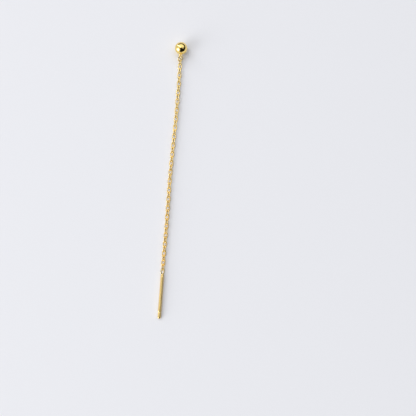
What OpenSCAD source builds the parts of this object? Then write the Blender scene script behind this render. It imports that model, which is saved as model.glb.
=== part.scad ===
// Threader earring, lying as it was laid down: a polished ball, a jump ring, a fine cable chain
// and a thin straight bar that threads through the ear.
// The long axis runs along Y, with the ball at +Y, and Z = 0 is the surface that it lies on.

/* [Ball] */
// Diameter of the polished ball
ball_d = 3; // [2:0.1:6]
// Wire thickness of the loop soldered to the ball
loop_wire = 0.28; // [0.2:0.01:0.36]
// Free width inside the ball's loop
loop_hole = 0.68; // [0.64:0.01:1]
// Distance from the ball's surface to the middle of the loop's hole
loop_reach = 0.37; // [0.34:0.01:0.42]
// Diameter of the solder foot around the loop, where it leaves the ball
solder_d = 0.84; // [0.7:0.02:1.2]
// Height of the solder foot over the ball's surface
solder_h = 0.03; // [0.02:0.01:0.06]
// Angle of the loop below level, in degrees
loop_dip = 4; // [0:1:12]
// Angle of the loop sideways, in degrees
loop_turn = 0; // [-15:1:15]
// Lean of the loop from upright, in degrees
loop_lean = 38; // [0:1:50]

/* [Jump ring] */
// Outer diameter of the jump ring
ring_od = 1.65; // [1.5:0.05:2.2]
// Wire thickness of the jump ring
ring_wire = 0.3; // [0.2:0.01:0.32]
// Clearance between the jump ring's wire and the ball
ring_clear = 0.16; // [0.13:0.01:0.18]
// Lean of the jump ring from level, in degrees
ring_lean = 46; // [0:1:50]
// Play between the jump ring and its seat in the first link
ring_play = 0.07; // [0:0.01:0.1]

/* [Chain] */
// Number of links
link_count = 47; // [5:2:81]
// Wire thickness of a link
link_wire = 0.23; // [0.18:0.01:0.26]
// Outer length of a link
link_l = 1.7; // [1.5:0.01:2.4]
// Outer width of a link
link_w = 0.97; // [0.9:0.01:1.2]
// Clear gap along the chain between the wires of two neighbouring links
link_gap = 0.157; // [0.13:0.001:0.18]
// Lean of the upright links next to the ball, in degrees
lean_ball = 30; // [0:1:45]
// Lean of the upright links from a tenth of the chain's length on, in degrees
lean_run = 36; // [0:1:45]
// Lean of the upright links next to the bar, in degrees
lean_bar = 42; // [0:1:45]
// How much less the flat links lean than the upright ones, in degrees
lean_step = 20; // [0:1:20]
// Clearance under the upright links, where the ball and the bar hold them up
link_rise = 0.045; // [0.02:0.005:0.06]

/* [Threader bar] */
// Diameter of the bar
bar_d = 0.8; // [0.5:0.05:1]
// Length of the bar at its full diameter, rounded tip included
bar_l = 9.85; // [5:0.05:30]
// Diameter of the neck, next to the eye
neck_d = 0.72; // [0.4:0.02:0.76]
// Growth of the neck's diameter towards the shoulder
neck_flare = 0.04; // [0.02:0.01:0.1]
// Length of the neck
neck_l = 0.5; // [0.4:0.1:2]
// Length of the shoulder between the neck and the bar
shoulder_l = 0.2; // [0.1:0.05:0.8]
// Wire thickness of the eye soldered to the bar
eye_wire = 0.28; // [0.2:0.01:0.3]
// Outer length of the eye
eye_l = 1.54; // [1.3:0.02:2.2]
// Outer width of the eye
eye_w = 1.12; // [1:0.02:1.2]
// Lean of the eye from level, in degrees
eye_lean = 40; // [0:1:45]
// Distance from the tip to the middle of the friction groove
groove_at = 1.55; // [1:0.05:3]
// Radius of the friction groove's round bottom
groove_r = 0.28; // [0.15:0.01:0.5]
// Depth of the friction groove
groove_depth = 0.07; // [0.03:0.01:0.12]
// Angle of the bar sideways from the long axis, in degrees
bar_turn = 0.5; // [-5:0.1:5]

/* [Hidden] */
$fn = 48;
// Depth to which a soldered piece is sunk into what it joins
sunk = 0.02;
// Sideways place of the chain as it was laid, at shares of its length from the ball to the bar
ROUTE = [[0, -0.13], [0.1, -0.03], [0.24, 0.01], [0.36, -0.1], [0.5, -0.21], [0.58, -0.25],
         [0.68, -0.17], [0.8, -0.1], [0.92, -0.14], [1, -0.12]];

ball_r = ball_d / 2;
bar_r = bar_d / 2;
neck_r = neck_d / 2;

// The middle of each end arc holds the next link's wire, with the same gap all round
link_arc = (link_w - link_wire) / 2;
link_inner_l = link_l - 2 * link_wire;
link_pitch = link_inner_l - link_gap;
link_seat = (link_l - link_w) / 2;

// Lean of the upright links, which have odd numbers, and the height at which they all but touch the surface
function lean(i) = lookup((i - 1) / (link_count - 1), [[0, lean_ball], [0.1, lean_run], [1, lean_bar]]);
function chain_z(i) = link_arc * cos(lean(i)) + link_wire / 2 + link_rise;

// The ball rests on the surface, and the jump ring's top passes through its loop
ball_middle = [0, 0, ball_r];
loop_dir = [-sin(loop_turn) * cos(loop_dip), -cos(loop_turn) * cos(loop_dip), -sin(loop_dip)];
ring_top = ball_middle + (ball_r + ring_clear + ring_wire / 2) * loop_dir;

// From there the ring slopes down into the first link
ring_arc = (ring_od - ring_wire) / 2;
ring_fall = ring_top[2] - chain_z(1);
ring_run = sqrt(pow(2 * ring_arc, 2) - pow(ring_fall, 2));
ring_bottom = ring_top - [0, ring_run, ring_fall];

// Place of a link's middle
chain_drift = ring_bottom[0] - ROUTE[0][1];
function chain_x(i) = chain_drift + lookup((i - 1) / (link_count - 1), ROUTE);
function chain_y(i) = ring_bottom[1] + ring_play - link_seat - (i - 1) * link_pitch;
function link_at(i) = [chain_x(i), chain_y(i), chain_z(i)];

// The bar's eye passes through the last link, and from there the bar falls until its tip touches down
eye_top = link_at(link_count) - [0, link_seat, 0];
eye_run = eye_l - eye_wire;
bar_total = eye_run + neck_l + shoulder_l + bar_l;
bar_fall = asin((eye_top[2] - bar_r) / bar_total);
bar_dir = [sin(bar_turn) * cos(bar_fall), -cos(bar_turn) * cos(bar_fall), -sin(bar_fall)];
tip = eye_top + bar_total * bar_dir;

// Middle of the whole length, where the origin goes
middle_y = (ball_r + tip[1]) / 2;

// Puts the origin in the middle of the length
module centred() {
    translate([0, -middle_y, 0])
        children();
}

// Leans its children about their Y axis, turns their -Y to a direction and puts their origin at a place
module aimed(dir, lean_deg, at) {
    translate(at)
        rotate([-asin(dir[2] / norm(dir)), 0, atan2(dir[0], -dir[1])])
            rotate([0, lean_deg, 0])
                children();
}

// A ring of round wire in the XY plane, or a part of one
module wire_ring(arc, wire, sweep = 360) {
    rotate_extrude(angle = sweep)
        translate([arc, 0])
            circle(d = wire);
}

// An oval of round wire in the XY plane, long along Y, centred
module wire_oval(length, width, wire) {
    arc = (width - wire) / 2;
    side = length - width;
    for (end = [0, 180])
        rotate([0, 0, end])
            translate([0, side / 2, 0])
                wire_ring(arc, wire, 180);
    for (x = [-arc, arc])
        translate([x, 0, 0])
            rotate([90, 0, 0])
                cylinder(h = side, d = wire, center = true);
}

module ball() {
    foot_root = sqrt(pow(ball_r, 2) - pow(solder_d / 2, 2)) - sunk;
    foot_h = ball_r + solder_h - foot_root;
    color("gold")
        centred() {
            translate(ball_middle)
                sphere(r = ball_r);
            aimed(loop_dir, loop_lean, ball_middle) {
                translate([0, -ball_r - loop_reach, 0])
                    rotate([0, 90, 0])
                        wire_ring((loop_hole + loop_wire) / 2, loop_wire);
                translate([0, -ball_r - solder_h, 0])
                    rotate([-90, 0, 0])
                        cylinder(h = foot_h, d1 = solder_d - 2 * foot_h, d2 = solder_d);
            }
        }
}

module jump_ring() {
    color("gold")
        centred()
            aimed(ring_bottom - ring_top, ring_lean, (ring_top + ring_bottom) / 2)
                wire_ring(ring_arc, ring_wire);
}

module chain() {
    color("goldenrod")
        centred()
            for (i = [1 : link_count])
                aimed(link_at(i + 1) - link_at(i - 1), i % 2 == 1 ? lean(i) + 90 : lean(i) - lean_step, link_at(i))
                    wire_oval(link_l, link_w, link_wire);
}

// The bar's shaft along Z, from the eye's wire to the middle of the rounded tip, with its groove
module shaft() {
    bar_start = neck_l + shoulder_l;
    bar_end = bar_start + bar_l - bar_r;
    cap_at = neck_r - eye_wire / 2 + sunk;
    neck_end_r = neck_r + neck_flare / 2;
    translate([0, 0, cap_at])
        sphere(r = neck_r);
    difference() {
        rotate_extrude()
            polygon([[0, cap_at], [neck_r, cap_at], [neck_end_r, neck_l], [bar_r, bar_start], [bar_r, bar_end],
                     [0, bar_end]]);
        translate([0, 0, bar_start + bar_l - groove_at])
            wire_ring(bar_r + groove_r - groove_depth, 2 * groove_r);
    }
    translate([0, 0, bar_end])
        sphere(r = bar_r);
}

module threader_bar() {
    color("gold")
        centred()
            aimed(bar_dir, eye_lean, eye_top) {
                translate([0, -eye_run / 2, 0])
                    wire_oval(eye_l, eye_w, eye_wire);
                translate([0, -eye_run, 0])
                    rotate([90, 0, 0])
                        shaft();
            }
}

ball();
jump_ring();
chain();
threader_bar();
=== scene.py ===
"""Threader earring in polished yellow gold, lying on pale paper beside a window in a soft room."""

import math

import bmesh
import bpy
import numpy as np
from mathutils import Matrix, Vector


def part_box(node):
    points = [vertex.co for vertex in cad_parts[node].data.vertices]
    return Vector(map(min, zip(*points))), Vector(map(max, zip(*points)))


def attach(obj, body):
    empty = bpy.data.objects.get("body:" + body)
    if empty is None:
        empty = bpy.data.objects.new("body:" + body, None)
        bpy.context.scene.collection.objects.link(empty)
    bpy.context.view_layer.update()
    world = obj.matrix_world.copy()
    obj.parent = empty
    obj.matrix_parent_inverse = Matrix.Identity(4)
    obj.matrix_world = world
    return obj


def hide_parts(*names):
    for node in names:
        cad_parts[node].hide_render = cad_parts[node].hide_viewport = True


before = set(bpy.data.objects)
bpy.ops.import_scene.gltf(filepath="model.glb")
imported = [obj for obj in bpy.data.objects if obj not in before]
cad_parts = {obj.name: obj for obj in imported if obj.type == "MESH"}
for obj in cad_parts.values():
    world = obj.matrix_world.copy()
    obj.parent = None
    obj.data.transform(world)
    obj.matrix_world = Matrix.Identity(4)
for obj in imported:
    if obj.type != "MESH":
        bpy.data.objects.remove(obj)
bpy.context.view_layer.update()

MM = 0.001
DEG = math.pi / 180

# ---------------------------------------------------------------- camera
# Seen from almost straight above. The earring's long axis is turned a little in the picture.
CAMERA_AT = (10.55, -18.82, 155.23)  # millimetres
CAMERA_TILT = 4.65  # degrees
PICTURE_TURN = 4.53  # degrees
LENS, SENSOR = 56.25, 36  # millimetres
CLIP_NEAR, CLIP_FAR = 0.01, 20  # metres

camera = bpy.data.objects.new("camera", bpy.data.cameras.new("camera"))
bpy.context.scene.collection.objects.link(camera)
camera.location = Vector(CAMERA_AT) * MM
camera.rotation_euler = (CAMERA_TILT * DEG, 0, PICTURE_TURN * DEG)
camera.data.lens = LENS
camera.data.sensor_width = SENSOR
camera.data.clip_start, camera.data.clip_end = CLIP_NEAR, CLIP_FAR
bpy.context.scene.camera = camera
bpy.context.scene.view_settings.view_transform = "Standard"

# ---------------------------------------------------------------- sizes of the earring
# Lengths are in millimetres and angles in degrees, as in the solids.
BALL_R = 1.5
LOOP_WIRE, LOOP_HOLE, LOOP_REACH = 0.28, 0.68, 0.37
LOOP_DIP, LOOP_TURN, LOOP_LEAN = 4, 0, 38
RING_OD, RING_WIRE, RING_CLEAR, RING_LEAN, RING_PLAY = 1.65, 0.3, 0.16, 46, 0.07
LINKS, LINK_WIRE, LINK_L, LINK_W, LINK_GAP = 47, 0.23, 1.7, 0.97, 0.157
LEAN_AT, LEAN, LEAN_STEP, LINK_RISE = [0, 0.1, 1], [30, 36, 42], 20, 0.045
BAR_R, BAR_L, BAR_TURN = 0.4, 9.85, 0.5
NECK_R, NECK_FLARE, NECK_L, SHOULDER_L = 0.36, 0.02, 0.5, 0.2
EYE_WIRE, EYE_L, EYE_W, EYE_LEAN = 0.28, 1.54, 1.12, 40
GROOVE_AT, GROOVE_R, GROOVE_DEPTH = 1.55, 0.28, 0.07
# Depth to which a soldered piece is sunk into what it joins
SUNK = 0.02
# Sideways place of the chain as it was laid, at shares of its length from the ball to the bar
ROUTE_AT = [0, 0.1, 0.24, 0.36, 0.5, 0.58, 0.68, 0.8, 0.92, 1]
ROUTE_X = [-0.13, -0.03, 0.01, -0.1, -0.21, -0.25, -0.17, -0.1, -0.14, -0.12]

LOOP_ARC = (LOOP_HOLE + LOOP_WIRE) / 2
RING_ARC = (RING_OD - RING_WIRE) / 2
LINK_ARC = (LINK_W - LINK_WIRE) / 2
LINK_PITCH = LINK_L - 2 * LINK_WIRE - LINK_GAP
LINK_SEAT = (LINK_L - LINK_W) / 2
EYE_RUN = EYE_L - EYE_WIRE
BAR_START = NECK_L + SHOULDER_L


# ---------------------------------------------------------------- how the pieces lie
def falling(turn, fall):
    """Direction along -Y, turned sideways by an angle in degrees and dipped by one in radians."""
    return Vector(
        (
            math.sin(turn * DEG) * math.cos(fall),
            -math.cos(turn * DEG) * math.cos(fall),
            -math.sin(fall),
        )
    )


ball_middle = Vector((0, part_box("ball")[1].y / MM - BALL_R, BALL_R))
loop_dir = falling(-LOOP_TURN, LOOP_DIP * DEG)
ring_top = ball_middle + (BALL_R + RING_CLEAR + RING_WIRE / 2) * loop_dir


def lean(i):
    """Lean of the upright links, which have odd numbers, in degrees."""
    return np.interp((i - 1) / (LINKS - 1), LEAN_AT, LEAN)


def link_height(i):
    """Height of a link's middle, at which the upright links all but touch the paper."""
    return LINK_ARC * math.cos(lean(i) * DEG) + LINK_WIRE / 2 + LINK_RISE


ring_fall = ring_top.z - link_height(1)
ring_bottom = ring_top - Vector((0, math.sqrt((2 * RING_ARC) ** 2 - ring_fall**2), ring_fall))


def link_at(i):
    """Middle of a link."""
    x = ring_bottom.x - ROUTE_X[0] + np.interp((i - 1) / (LINKS - 1), ROUTE_AT, ROUTE_X)
    y = ring_bottom.y + RING_PLAY - LINK_SEAT - (i - 1) * LINK_PITCH
    return Vector((x, y, link_height(i)))


eye_top = link_at(LINKS) - Vector((0, LINK_SEAT, 0))
bar_fall = math.asin((eye_top.z - BAR_R) / (EYE_RUN + BAR_START + BAR_L))
bar_dir = falling(BAR_TURN, bar_fall)


def aimed(direction, leaning, at):
    """Matrix that leans a piece about its Y axis, turns its -Y to a direction and puts it at a place."""
    d = direction.normalized()
    turn = Matrix.Rotation(math.atan2(d.x, -d.y), 4, "Z")
    pitch = Matrix.Rotation(-math.asin(d.z), 4, "X")
    return Matrix.Translation(at) @ turn @ pitch @ Matrix.Rotation(leaning * DEG, 4, "Y")


# ---------------------------------------------------------------- mesh tools
# Edges sharper than this many degrees stay crisp
SHARP_ANGLE = 40


def placed(points, matrix):
    m = np.array(matrix)
    return points @ m[:3, :3].T + m[:3, 3]


def arc_path(arc, start, sweep, count, closed):
    """Path along a circle in the XY plane, in degrees, with its outward direction."""
    turn = np.radians(start) + np.radians(sweep) * np.linspace(0, 1, count, endpoint=not closed)
    outward = np.c_[np.cos(turn), np.sin(turn)]
    return arc * outward, outward


def oval_path(length, width, wire, per_arc, side_steps):
    """Path of an oval wire in the XY plane, long along Y, with its outward direction."""
    arc, side = (width - wire) / 2, length - width
    path, outward = [], []
    for end in (1, -1):
        for k in range(per_arc):
            t = math.pi * k / per_arc + (0 if end == 1 else math.pi)
            path.append((arc * math.cos(t), end * side / 2 + arc * math.sin(t)))
            outward.append((math.cos(t), math.sin(t)))
        for s in side_steps:
            path.append((-end * arc, end * side * (0.5 - s)))
            outward.append((-end, 0))
    return np.array(path), np.array(outward, float)


def swept(path, outward, radius, sides, closed=True):
    """Round wire along a path in the XY plane. Gives points and faces, with flat ends where it is open."""
    n = len(path)
    turn = np.linspace(0, 2 * math.pi, sides, endpoint=False)
    rim = np.cos(turn)[None, :, None] * np.c_[outward, np.zeros(n)][:, None, :]
    rim = rim + np.sin(turn)[None, :, None] * np.array([0, 0, 1.0])
    points = (np.c_[path, np.zeros(n)][:, None, :] + rim * radius[:, None, None]).reshape(-1, 3)
    faces = []
    for a in range(n if closed else n - 1):
        b = (a + 1) % n
        for j in range(sides):
            k = (j + 1) % sides
            faces.append((a * sides + j, b * sides + j, b * sides + k, a * sides + k))
    if not closed:
        faces.append(tuple(range(sides)))
        faces.append(tuple(range(len(points) - 1, len(points) - sides - 1, -1)))
    return points, faces


def turned(profile, sides):
    """Solid of revolution about -Y. The profile has rows of distance along it and radius, from axis to axis."""
    turn = np.linspace(0, 2 * math.pi, sides, endpoint=False)
    points = [(0, -profile[0][0], 0)]
    for s, r in profile[1:-1]:
        points += [(r * math.cos(t), -s, r * math.sin(t)) for t in turn]
    points.append((0, -profile[-1][0], 0))
    faces, rings = [], len(profile) - 2
    for j in range(sides):
        k = (j + 1) % sides
        faces.append((0, 1 + j, 1 + k))
        for a in range(rings - 1):
            p, q = 1 + a * sides, 1 + (a + 1) * sides
            faces.append((p + j, q + j, q + k, p + k))
        last = 1 + (rings - 1) * sides
        faces.append((last + k, last + j, len(points) - 1))
    return np.array(points, float), faces


def sphere(radius, middle, subdivisions):
    bm = bmesh.new()
    bmesh.ops.create_icosphere(bm, subdivisions=subdivisions, radius=radius)
    points = np.array([v.co for v in bm.verts]) + np.array(middle)
    faces = [tuple(v.index for v in f.verts) for f in bm.faces]
    bm.free()
    return points, faces


def piece(name, parts, material, node=None):
    """One mesh from several parts of points in millimetres, faces and rub. It rides on the earring's only body.

    Rub says how much each point is rubbed by the wire that it meets, from 0 to 1.
    """
    points, faces, rub, first = [], [], [], 0
    for p, f, r in parts:
        points.append(p)
        rub.append(np.broadcast_to(r, len(p)))
        faces += [tuple(first + i for i in face) for face in f]
        first += len(p)
    mesh = bpy.data.meshes.new(name)
    mesh.from_pydata((np.vstack(points) * MM).tolist(), [], faces)
    mesh.validate()
    rubbed = mesh.attributes.new("rub", "FLOAT", "POINT")
    rubbed.data.foreach_set("value", np.concatenate(rub).astype(np.float32))
    mesh.shade_smooth()
    mesh.set_sharp_from_angle(angle=SHARP_ANGLE * DEG)
    mesh.materials.append(material)
    made = bpy.data.objects.new(name, mesh)
    bpy.context.scene.collection.objects.link(made)
    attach(made, "root")
    if node:
        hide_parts(node)


# ---------------------------------------------------------------- node tools
BLACK, WHITE = (0, 0, 0, 1), (1, 1, 1, 1)


def put(tree, kind, links=None, **values):
    """Adds a node. links maps an input's name or number to a socket or a value, and values are its own settings."""
    made = tree.nodes.new(kind)
    for key, value in values.items():
        setattr(made, key, value)
    for key, value in (links or {}).items():
        if isinstance(value, bpy.types.NodeSocket):
            tree.links.new(value, made.inputs[key])
        else:
            made.inputs[key].default_value = value
    return made


def math_node(tree, what, a, b=0.0, clamp=False):
    return put(tree, "ShaderNodeMath", {0: a, 1: b}, operation=what, use_clamp=clamp).outputs[0]


def mixed(tree, share, a, b, **values):
    """Colour a to colour b by share."""
    return put(tree, "ShaderNodeMix", {0: share, 6: a, 7: b}, data_type="RGBA", **values).outputs[2]


def noise(tree, place, scale, detail):
    return put(tree, "ShaderNodeTexNoise", {"Vector": place, "Scale": scale, "Detail": detail}).outputs["Fac"]


def eased(tree, value, low, high):
    """0 to 1 as the value goes from low to high, with soft ends."""
    links = {"Value": value, "From Min": low, "From Max": high}
    return put(tree, "ShaderNodeMapRange", links, interpolation_type="SMOOTHSTEP").outputs["Result"]


def object_place(tree):
    return put(tree, "ShaderNodeTexCoord").outputs["Object"]


def group(name, takes, gives):
    """An empty shader node group with named sockets. takes and gives are lists of (name, type, default)."""
    tree = bpy.data.node_groups.new(name, "ShaderNodeTree")
    for way, rows in (("INPUT", takes), ("OUTPUT", gives)):
        for label, kind, start in rows:
            made = tree.interface.new_socket(label, in_out=way, socket_type="NodeSocket" + kind)
            if way == "INPUT" and start is not None:
                made.default_value = start
    return tree, tree.nodes.new("NodeGroupInput").outputs, tree.nodes.new("NodeGroupOutput").inputs


def empty_material(name):
    material = bpy.data.materials.new(name)
    material.use_nodes = True
    material.node_tree.nodes.clear()
    return material, material.node_tree


# ---------------------------------------------------------------- surface effects
# Size of the polishing pattern per metre, at a fineness of 1
POLISH_SCALE = 1000.0
# The two ways in which buffing lines run: turn in radians, and stretch
BUFFING = (((0.3, 0.5, 0.9), (9, 0.5, 9)), ((1.1, 0.2, 2.3), (0.6, 11, 11)))
# Part of the noise that becomes a line
LINE_FROM, LINE_FULL = 0.56, 0.68
# What a line adds to roughness and tone
LINE_ROUGHNESS, LINE_TONE = 0.12, 0.3
# Size of the cloudy haze against the lines
CLOUD_SCALE = 0.7
# Size and softness of a rubbed patch's broken edge
RUB_SCALE, RUB_SOFT = 6000.0, 0.3
# Lines from the drawplate, which are long along Y
DRAWN_SCALE = (9000, 260, 9000)


def hand_polish():
    """Fine buffing lines that run two ways, and the soft haze that a polishing cloth leaves."""
    tree, takes, gives = group(
        "hand_polish",
        [
            ("Fineness", "Float", 1.0),
            ("Haze", "Float", 0.08),
            ("Haze spread", "Float", 0.05),
            ("Line share", "Float", 0.3),
        ],
        [("Roughness", "Float", None), ("Tone", "Float", None), ("Height", "Float", None)],
    )
    place = object_place(tree)
    size = math_node(tree, "MULTIPLY", takes["Fineness"], POLISH_SCALE)
    lines = []
    for turn, stretch in BUFFING:
        laid = put(tree, "ShaderNodeMapping", {"Vector": place, "Rotation": turn, "Scale": stretch})
        lines.append(eased(tree, noise(tree, laid.outputs[0], size, detail=2.0), LINE_FROM, LINE_FULL))
    scratch = math_node(tree, "MULTIPLY", math_node(tree, "MAXIMUM", *lines), takes["Line share"])
    cloud = noise(tree, place, math_node(tree, "MULTIPLY", size, CLOUD_SCALE), detail=3.0)
    uneven = math_node(tree, "SUBTRACT", cloud, 0.5)
    rough = math_node(tree, "ADD", takes["Haze"], math_node(tree, "MULTIPLY", uneven, takes["Haze spread"]))
    lined = math_node(tree, "MULTIPLY", scratch, LINE_ROUGHNESS)
    tree.links.new(math_node(tree, "ADD", rough, lined, clamp=True), gives["Roughness"])
    paler = math_node(tree, "MULTIPLY", scratch, LINE_TONE)
    tree.links.new(math_node(tree, "ADD", cloud, paler, clamp=True), gives["Tone"])
    tree.links.new(math_node(tree, "MULTIPLY", scratch, -1.0), gives["Height"])
    return tree


def rubbed_spots():
    """Where wire rubs on wire the plating is brighter and smoother, with a broken edge to the patch."""
    tree, takes, gives = group("rubbed_spots", [("Spread", "Float", 0.5)], [("Mask", "Float", None)])
    rub = put(tree, "ShaderNodeAttribute", attribute_name="rub").outputs["Fac"]
    broken = math_node(tree, "MULTIPLY", noise(tree, object_place(tree), RUB_SCALE, detail=2.0), takes["Spread"])
    tree.links.new(eased(tree, math_node(tree, "SUBTRACT", rub, broken), 0.0, RUB_SOFT), gives["Mask"])
    return tree


def drawn_lines():
    """The fine straight lines that a drawplate leaves along a wire."""
    tree, takes, gives = group(
        "drawn_lines", [("Fineness", "Float", 1.0)], [("Height", "Float", None), ("Tone", "Float", None)]
    )
    laid = put(tree, "ShaderNodeMapping", {"Vector": object_place(tree), "Scale": DRAWN_SCALE})
    lines = noise(tree, laid.outputs[0], takes["Fineness"], detail=3.0)
    tree.links.new(lines, gives["Height"])
    tree.links.new(lines, gives["Tone"])
    return tree


def painted_sheen_tint():
    """Painted sheen: a paler, cooler tint near the ball, which stands in for the glints of light there, and a warmer
    one near the bar.
    """
    tree, takes, gives = group(
        "painted_sheen_tint",
        [
            ("Pale start", "Float", 0.03),
            ("Warm end", "Float", -0.02),
            ("Pale", "Color", WHITE),
            ("Warm", "Color", WHITE),
        ],
        [("Colour", "Color", None)],
    )
    along = put(tree, "ShaderNodeSeparateXYZ", {0: object_place(tree)}).outputs["Y"]
    ends = {"Value": along, "From Min": takes["Pale start"], "From Max": takes["Warm end"]}
    share = put(tree, "ShaderNodeMapRange", ends).outputs["Result"]
    tree.links.new(mixed(tree, share, takes["Pale"], takes["Warm"]), gives["Colour"])
    return tree


HAND_POLISH, RUBBED_SPOTS, DRAWN_LINES, PAINTED_SHEEN_TINT = hand_polish(), rubbed_spots(), drawn_lines(), painted_sheen_tint()

# ---------------------------------------------------------------- gold
# Share of the drawplate's lines in the bar's height and tone
DRAWN_HEIGHT, DRAWN_TONE = 0.6, 0.4
# Where along Y, in metres, the chain's painted sheen is palest and where it has gone over to the warmest tint
SHEEN_TINT_START, SHEEN_TINT_END = 0.031, -0.02
# How far rubbed gold goes to its brighter tone, how that tone is made, and how much smoother it is
RUB_SHARE, RUB_GAIN, RUB_LIFT, RUB_SMOOTHER = 0.5, 1.04, 0.02, 0.35
GOLD_BUMP = 0.5


def gold(name, light, deep, fineness, haze, haze_spread, line_share, depth, drawn=False, sheen_tint=None):
    """Polished yellow gold.

    light and deep are its two tones, depth is that of its lines in millimetres, drawn adds the drawplate's lines,
    and the last one tints the chain paler where it meets the ball, a painted sheen that stands in for glints of
    light.
    """
    material, tree = empty_material(name)
    settings = {"Fineness": fineness, "Haze": haze, "Haze spread": haze_spread, "Line share": line_share}
    polish = put(tree, "ShaderNodeGroup", settings, node_tree=HAND_POLISH)
    rub = put(tree, "ShaderNodeGroup", node_tree=RUBBED_SPOTS).outputs["Mask"]
    tone, height = polish.outputs["Tone"], polish.outputs["Height"]
    if drawn:
        lines = put(tree, "ShaderNodeGroup", node_tree=DRAWN_LINES).outputs
        height = math_node(tree, "ADD", height, math_node(tree, "MULTIPLY", lines["Height"], DRAWN_HEIGHT))
        polished = math_node(tree, "MULTIPLY", tone, 1 - DRAWN_TONE)
        tone = math_node(tree, "ADD", polished, math_node(tree, "MULTIPLY", lines["Tone"], DRAWN_TONE))
    colour = mixed(tree, tone, (*deep, 1), (*light, 1))
    # Painted sheen: the chain is tinted paler and cooler near the ball, standing in for glints of light there.
    if sheen_tint:
        ends = {"Pale start": SHEEN_TINT_START, "Warm end": SHEEN_TINT_END, "Pale": (*sheen_tint, 1), "Warm": WHITE}
        tint = put(tree, "ShaderNodeGroup", ends, node_tree=PAINTED_SHEEN_TINT).outputs["Colour"]
        colour = mixed(tree, 1.0, colour, tint, blend_type="MULTIPLY")
    bright = (*[min(1, c * RUB_GAIN + RUB_LIFT) for c in light], 1)
    colour = mixed(tree, math_node(tree, "MULTIPLY", rub, RUB_SHARE), colour, bright)
    kept = math_node(tree, "SUBTRACT", 1.0, math_node(tree, "MULTIPLY", rub, RUB_SMOOTHER))
    rough = math_node(tree, "MULTIPLY", polish.outputs["Roughness"], kept)
    bump = put(tree, "ShaderNodeBump", {"Height": height, "Strength": GOLD_BUMP, "Distance": depth * MM})
    surface = {"Base Color": colour, "Roughness": rough, "Normal": bump.outputs[0], "Metallic": 1.0}
    shader = put(tree, "ShaderNodeBsdfPrincipled", surface)
    put(tree, "ShaderNodeOutputMaterial", {"Surface": shader.outputs[0]})
    return material


BALL_GOLD = gold(
    "mirror_polished_gold",
    light=(0.97, 0.74, 0.27),
    deep=(0.93, 0.68, 0.21),
    fineness=0.6,
    haze=0.035,
    haze_spread=0.02,
    line_share=0.10,
    depth=0.0006,
)
SOLDER_GOLD = gold(
    "soldered_gold",
    light=(0.95, 0.70, 0.25),
    deep=(0.86, 0.58, 0.17),
    fineness=1.6,
    haze=0.16,
    haze_spread=0.10,
    line_share=0.30,
    depth=0.003,
)
RING_GOLD = gold(
    "polished_ring_gold",
    light=(0.87, 0.70, 0.34),
    deep=(0.78, 0.60, 0.26),
    fineness=1.4,
    haze=0.12,
    haze_spread=0.06,
    line_share=0.25,
    depth=0.0015,
)
CHAIN_GOLD = gold(
    "tumbled_chain_gold",
    light=(0.99, 0.71, 0.245),
    deep=(0.91, 0.60, 0.16),
    fineness=1.8,
    haze=0.15,
    haze_spread=0.08,
    line_share=0.30,
    depth=0.002,
    # Tint of the painted sheen near the ball, which stands in for glints of light
    sheen_tint=(0.84, 0.95, 1.3),
)
BAR_GOLD = gold(
    "polished_bar_gold",
    light=(0.90, 0.67, 0.29),
    deep=(0.84, 0.60, 0.23),
    fineness=1.0,
    haze=0.13,
    haze_spread=0.04,
    line_share=0.25,
    depth=0.0003,
    drawn=True,
)

# ---------------------------------------------------------------- ball with its loop
BALL_SUBDIVISIONS = 6
LOOP_STEPS, LOOP_SIDES, SOLDER_SIDES = 72, 20, 40
# The solder that runs up the loop's foot: height over the ball's surface, and radius
SOLDER = [
    (-0.12, 0),
    (-0.12, 0.4),
    (-0.075, 0.425),
    (-0.05, 0.405),
    (-0.025, 0.375),
    (0.0, 0.335),
    (0.018, 0.29),
    (0.026, 0.23),
    (0.028, 0.15),
    (0.026, 0.07),
    (0.025, 0),
]
# How much soldered and hanging rings are rubbed
LOOP_RUB, RING_RUB, EYE_RUB = 0.4, 0.3, 0.3

points, faces = sphere(BALL_R, ball_middle, BALL_SUBDIVISIONS)
piece("polished_ball", [(points, faces, 0.0)], BALL_GOLD, "ball")

foot = aimed(loop_dir, LOOP_LEAN, ball_middle)
upright = Matrix.Translation((0, -BALL_R - LOOP_REACH, 0)) @ Matrix.Rotation(90 * DEG, 4, "Y")
path, outward = arc_path(LOOP_ARC, 0, 360, LOOP_STEPS, True)
points, faces = swept(path, outward, np.full(LOOP_STEPS, LOOP_WIRE / 2), LOOP_SIDES)
piece("ball_loop", [(placed(points, foot @ upright), faces, LOOP_RUB)], RING_GOLD)

points, faces = turned([(BALL_R + s, r) for s, r in SOLDER], SOLDER_SIDES)
piece("ball_solder", [(placed(points, foot), faces, 0.0)], SOLDER_GOLD)

# ---------------------------------------------------------------- jump ring with its closed cut
# Width and place of the cut in degrees, and the wire's share of its thickness there
RING_CUT, CUT_AT, CUT_WIRE = 1.6, 205, 0.93
RING_STEPS, RING_SIDES = 97, 24

path, outward = arc_path(RING_ARC, CUT_AT + RING_CUT / 2, 360 - RING_CUT, RING_STEPS, False)
radius = np.full(RING_STEPS, RING_WIRE / 2)
radius[[0, -1]] *= CUT_WIRE
points, faces = swept(path, outward, radius, RING_SIDES, closed=False)
lie = aimed(ring_bottom - ring_top, RING_LEAN, (ring_top + ring_bottom) / 2)
piece("jump_ring_cut", [(placed(points, lie), faces, RING_RUB)], RING_GOLD, "jump_ring")

# ---------------------------------------------------------------- chain
LINK_ARC_STEPS, LINK_SIDES = 20, 16
# Shares of a link's straight side, closer together at the weld seam in its middle
SIDE_STEPS = (0, 0.2, 0.4, 0.455, 0.485, 0.5, 0.515, 0.545, 0.6, 0.8)
# The seam swells the wire by a share of its radius over one length, and a fine dip in it thins the wire over another
SEAM_SWELL, SWELL_L = 0.05, 0.06
SEAM_DIP, DIP_L = 0.09, 0.008
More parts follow.
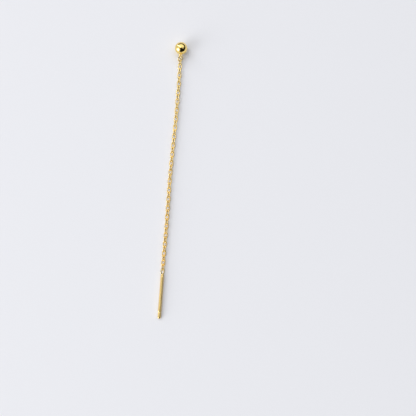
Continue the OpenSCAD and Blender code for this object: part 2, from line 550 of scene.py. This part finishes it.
# How far outside its middle line the wire is still rubbed, and over what length that fades in
RUB_REACH, RUB_FADE = 0.02, 0.1
# Points beyond this share of a link's half width lie on its straight side
ON_SIDE = 0.99
# Share of the links whose seam lies on the other side
SEAM_OTHER_SIDE = 0.5

draw = np.random.default_rng(47)
parts = []
for i in range(1, LINKS + 1):
    path, outward = oval_path(LINK_L, LINK_W, LINK_WIRE, LINK_ARC_STEPS, SIDE_STEPS)
    radius = np.full(len(path), LINK_WIRE / 2)
    welded = path[:, 0] < -LINK_ARC * ON_SIDE
    from_seam = path[welded, 1]
    radius[welded] *= (
        1 + SEAM_SWELL * np.exp(-((from_seam / SWELL_L) ** 2)) - SEAM_DIP * np.exp(-((from_seam / DIP_L) ** 2))
    )
    points, faces = swept(path, outward, radius, LINK_SIDES)
    past_seat = np.abs(points[:, 1]) - LINK_SEAT
    at_end = np.clip(past_seat / LINK_ARC, 0, 1)
    inside = np.clip((RUB_REACH - (np.hypot(points[:, 0], past_seat) - LINK_ARC)) / RUB_FADE, 0, 1)
    if draw.random() < SEAM_OTHER_SIDE:
        points = points * [-1, -1, 1]
    leaning = lean(i) + 90 if i % 2 else lean(i) - LEAN_STEP
    lie = aimed(link_at(i + 1) - link_at(i - 1), leaning, link_at(i))
    parts.append((placed(points, lie), faces, at_end * inside))
piece("chain_links", parts, CHAIN_GOLD, "chain")

# ---------------------------------------------------------------- threader bar
EYE_ARC_STEPS, EYE_SIDES, BAR_SIDES = 28, 20, 64
EYE_SIDE_STEPS = (0, 0.33, 0.66)
# Slight ridge of solder at the start of the neck: distance from its round end, and height
RIDGE = [(0.01, 0.002), (0.05, 0.012), (0.1, 0.006)]
# Places of rows along the neck, after the ridge
NECK_ROWS = (0.4, 0.46)
# Numbers of rows along the round end, the shoulder, the bar, the groove, the bar beyond it and the tip
ROUND_ROWS, SHOULDER_ROWS, BAR_ROWS, GROOVE_ROWS, LAST_ROWS, TIP_ROWS = 12, 9, 14, 13, 4, 14
# Distances from the shoulder and from the groove at which the straight bar starts and ends
AFTER_SHOULDER, BESIDE_GROOVE = 0.1, 0.06
# The groove's eased edge: distance outside it, depth, and share of the groove's width that is round
EDGE_OUT, EDGE_DEPTH, GROOVE_ROUND = 0.02, 0.002, 0.94


def bar_profile():
    """Distance from the eye's wire and radius, along the round end, neck, shoulder, bar, groove and tip."""
    round_at = NECK_R - EYE_WIRE / 2 + SUNK
    quarter = np.linspace(0, math.pi / 2, ROUND_ROWS)[:-1]
    rows = [(round_at - NECK_R * math.cos(t), NECK_R * math.sin(t)) for t in quarter]
    rows += [(round_at + s, NECK_R + height) for s, height in RIDGE]
    rows += [(s, NECK_R + NECK_FLARE * s / NECK_L) for s in NECK_ROWS]
    neck_end = NECK_R + NECK_FLARE
    for t in np.linspace(0, 1, SHOULDER_ROWS):
        ease = t * t * (3 - 2 * t)
        rows.append((NECK_L + SHOULDER_L * t, neck_end + (BAR_R - neck_end) * ease))
    groove = BAR_START + BAR_L - GROOVE_AT
    half = math.sqrt(GROOVE_R**2 - (GROOVE_R - GROOVE_DEPTH) ** 2)
    rows += [(s, BAR_R) for s in np.linspace(BAR_START + AFTER_SHOULDER, groove - half - BESIDE_GROOVE, BAR_ROWS)]
    rows.append((groove - half - EDGE_OUT, BAR_R - EDGE_DEPTH))
    for t in np.linspace(-GROOVE_ROUND, GROOVE_ROUND, GROOVE_ROWS):
        rows.append((groove + half * t, BAR_R + GROOVE_R - GROOVE_DEPTH - math.sqrt(GROOVE_R**2 - (half * t) ** 2)))
    rows.append((groove + half + EDGE_OUT, BAR_R - EDGE_DEPTH))
    end = BAR_START + BAR_L - BAR_R
    rows += [(s, BAR_R) for s in np.linspace(groove + half + BESIDE_GROOVE, end, LAST_ROWS)]
    quarter = np.linspace(0, math.pi / 2, TIP_ROWS)[1:-1]
    rows += [(end + BAR_R * math.sin(t), BAR_R * math.cos(t)) for t in quarter]
    rows.append((end + BAR_R, 0))
    return rows


lie = aimed(bar_dir, EYE_LEAN, eye_top)
path, outward = oval_path(EYE_L, EYE_W, EYE_WIRE, EYE_ARC_STEPS, EYE_SIDE_STEPS)
points, faces = swept(path, outward, np.full(len(path), EYE_WIRE / 2), EYE_SIDES)
piece("bar_eye", [(placed(points + [0, -EYE_RUN / 2, 0], lie), faces, EYE_RUB)], RING_GOLD)

points, faces = turned([(EYE_RUN + s, r) for s, r in bar_profile()], BAR_SIDES)
piece("ear_bar", [(placed(points, lie), faces, 0.0)], BAR_GOLD, "threader_bar")

# ---------------------------------------------------------------- paper
PAPER_SIDE = 6.0  # metres
PAPER = (0.779, 0.775, 0.790)
# How much paler and darker the paper's tooth makes it
PAPER_GRAIN = 0.015
TOOTH_SCALE, TOOTH_BUMP, TOOTH_DEPTH = 2600.0, 0.25, 0.02  # per metre, strength, millimetres
PAPER_ROUGHNESS = 0.85
BACKDROP = (0.80, 0.81, 0.84)
# Between these distances in metres the paper turns into the backdrop, so that no edge shows from the side
FADE_FROM, FADE_TO = 0.12, 0.5


def paper():
    """Smooth cool white paper with a faint tooth, which turns into a plain backdrop far from the earring."""
    material, tree = empty_material("pale_paper")
    place = object_place(tree)
    tooth = noise(tree, place, TOOTH_SCALE, detail=4.0)
    darker = (*[c * (1 - PAPER_GRAIN) for c in PAPER], 1)
    paler = (*[min(1, c * (1 + PAPER_GRAIN)) for c in PAPER], 1)
    away = put(tree, "ShaderNodeVectorMath", {0: place}, operation="LENGTH").outputs["Value"]
    fade = eased(tree, away, FADE_FROM, FADE_TO)
    bump = put(tree, "ShaderNodeBump", {"Height": tooth, "Strength": TOOTH_BUMP, "Distance": TOOTH_DEPTH * MM})
    surface = {
        "Base Color": mixed(tree, fade, mixed(tree, tooth, darker, paler), BLACK),
        "Roughness": PAPER_ROUGHNESS,
        "Specular IOR Level": 0.0,
        "Emission Color": mixed(tree, fade, BLACK, (*BACKDROP, 1)),
        "Emission Strength": 1.0,
        "Normal": bump.outputs[0],
    }
    shader = put(tree, "ShaderNodeBsdfPrincipled", surface)
    put(tree, "ShaderNodeOutputMaterial", {"Surface": shader.outputs[0]})
    return material


sheet = bpy.data.meshes.new("paper_sheet")
far = PAPER_SIDE / 2
sheet.from_pydata([(-far, -far, 0), (far, -far, 0), (far, far, 0), (-far, far, 0)], [], [(0, 1, 2, 3)])
sheet.materials.append(paper())
floor = bpy.data.objects.new("paper_sheet", sheet)
bpy.context.scene.collection.objects.link(floor)

# ---------------------------------------------------------------- soft light
# Directions are degrees round from +X and up from the floor, and sizes are half angles in degrees.
# Softboxes: name, round, up, half width, half height, brightness, whether metal mirrors it.
SOFTBOX_AWAY = 1.0  # metres
WINDOW_COLOUR = (0.985, 1.0, 1.03)
SOFTBOXES = [
    ("main_window", 213, 18, 18, 19, 4.3, True),
    ("side_window", 143, 46, 6, 36, 3.5, True),
    ("overhead_fill", 90, 85, 30, 30, 0.35, False),
]
# Panels of the room, later rows over earlier ones: name, round, up, half width, half height, edge, brightness.
ROOM = (0.012, 0.012, 0.013)
PANELS = [
    ("left wall", 171, 37, 33, 40, 15, 0.7),
    ("glow by the window", 214, 20, 36, 39, 24, 1.0),
    ("ceiling", 79, 58, 64, 30, 11, 1.2),
    ("top light", 90, 88, 180, 8, 9, 1.0),
    ("far wall", 94, 0, 31, 5, 7, 1.0),
    ("pale corner", 0, 62, 24, 21, 12, 0.75),
]


def toward(around, up):
    level = math.cos(up * DEG)
    return Vector((level * math.cos(around * DEG), level * math.sin(around * DEG), math.sin(up * DEG)))


def softbox(name, around, up, half_width, half_height, shine, mirrored):
    """A rectangular lamp that faces the earring. Its own brightness doesn't depend on its size."""
    lamp = bpy.data.lights.new(name, "AREA")
    lamp.shape = "RECTANGLE"
    lamp.size = 2 * SOFTBOX_AWAY * math.tan(half_width * DEG)
    lamp.size_y = 2 * SOFTBOX_AWAY * math.tan(half_height * DEG)
    lamp.energy = shine * math.pi * lamp.size * lamp.size_y
    lamp.color = WINDOW_COLOUR
    made = bpy.data.objects.new(name, lamp)
    away = toward(around, up)
    made.location = away * SOFTBOX_AWAY
    made.rotation_mode = "QUATERNION"
    made.rotation_quaternion = away.to_track_quat("Z", "Y")
    made.visible_camera = False
    made.visible_glossy = mirrored
    bpy.context.scene.collection.objects.link(made)


def room():
    """The walls and ceiling as soft-edged panels of light, and a plain backdrop for the camera."""
    world = bpy.data.worlds.new("soft_room")
    bpy.context.scene.world = world
    world.use_nodes = True
    tree = world.node_tree
    tree.nodes.clear()
    look = put(tree, "ShaderNodeTexCoord").outputs["Generated"]
    apart = put(tree, "ShaderNodeSeparateXYZ", {0: look})
    height = math_node(tree, "DIVIDE", math_node(tree, "ARCSINE", apart.outputs["Z"]), DEG)
    colour = (*ROOM, 1)
    for _, around, up, half_width, half_height, edge, shine in PANELS:
        spin = {"Vector": look, "Angle": -around * DEG}
        faced = put(tree, "ShaderNodeVectorRotate", spin, rotation_type="Z_AXIS").outputs[0]
        ahead = put(tree, "ShaderNodeSeparateXYZ", {0: faced}).outputs
        aside = math_node(tree, "DIVIDE", math_node(tree, "ARCTAN2", ahead["Y"], ahead["X"]), DEG)
        above = math_node(tree, "SUBTRACT", height, float(up))
        masks = []
        for off, half in ((aside, half_width), (above, half_height)):
            masks.append(eased(tree, math_node(tree, "ABSOLUTE", off), half + edge / 2, half - edge / 2))
        lit = (*[shine * c for c in WINDOW_COLOUR], 1)
        colour = mixed(tree, math_node(tree, "MULTIPLY", *masks), colour, lit)
    seen = put(tree, "ShaderNodeLightPath").outputs["Is Camera Ray"]
    colour = mixed(tree, seen, colour, (*BACKDROP, 1))
    light = put(tree, "ShaderNodeBackground", {"Color": colour, "Strength": 1.0})
    put(tree, "ShaderNodeOutputWorld", {"Surface": light.outputs[0]})


for row in SOFTBOXES:
    softbox(*row)
room()
